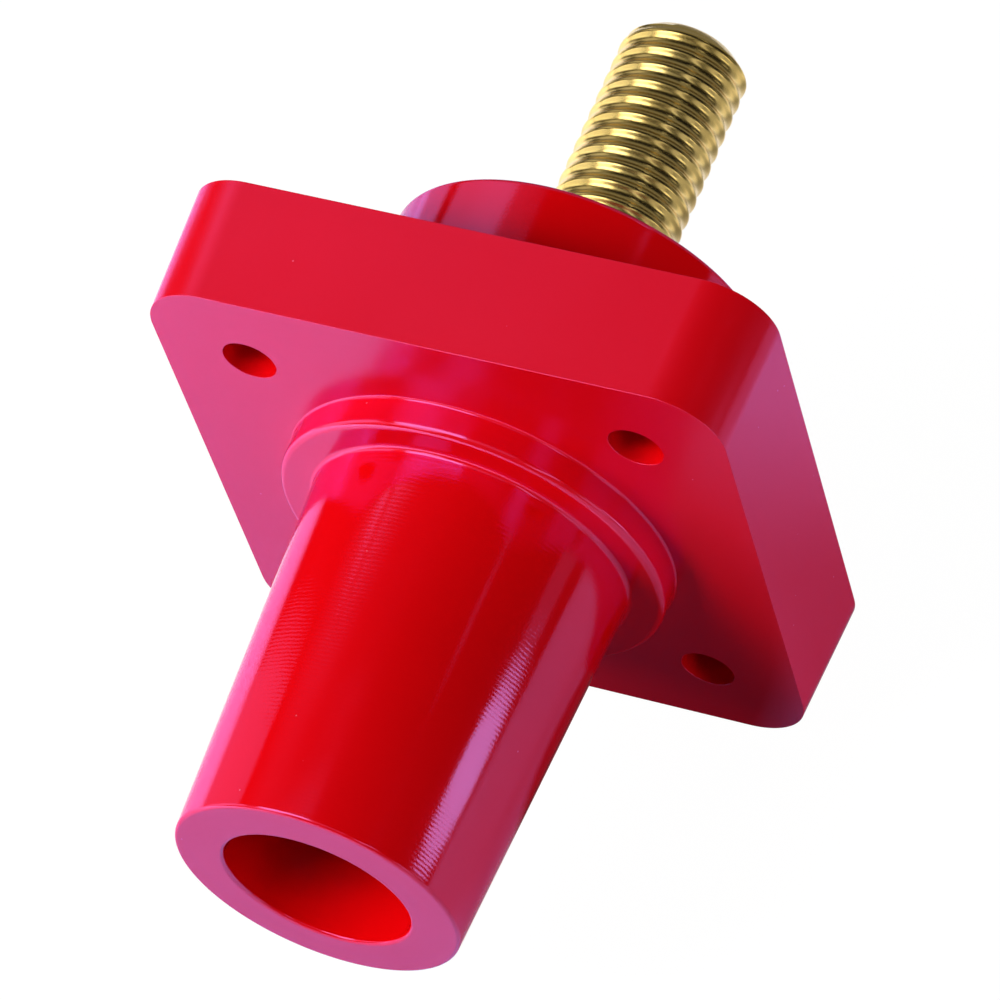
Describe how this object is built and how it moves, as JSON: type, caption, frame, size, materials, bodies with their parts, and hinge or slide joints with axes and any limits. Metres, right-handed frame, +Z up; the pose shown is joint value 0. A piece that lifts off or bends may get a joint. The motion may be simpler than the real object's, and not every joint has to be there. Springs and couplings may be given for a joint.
{
  "type": "single pole cam lock connector",
  "caption": "Panel receptacle of a single pole cam lock connector: red moulded body with square flange and tapered nose, brass socket contact with a threaded stud at the back.",
  "frame": {"origin": "on the connector's axis, in the plane of the flange's back face, which lies on the panel", "axes": "+Y along the axis from the nose to the stud, +X to the right seen from the nose, +Z up, towards the cam pin"},
  "size_m": [0.0568, 0.0938, 0.0568],
  "materials": {
    "housing_plastic": "moulded, glossy, with faint ring marks on the nose",
    "contact_brass": "turned and polished",
    "pin_steel": "hardened and ground"
  },
  "bodies": {
    "root": {"housing": "housing_plastic", "contact": "contact_brass", "cam_pin": "pin_steel"}
  },
  "joints": []
}
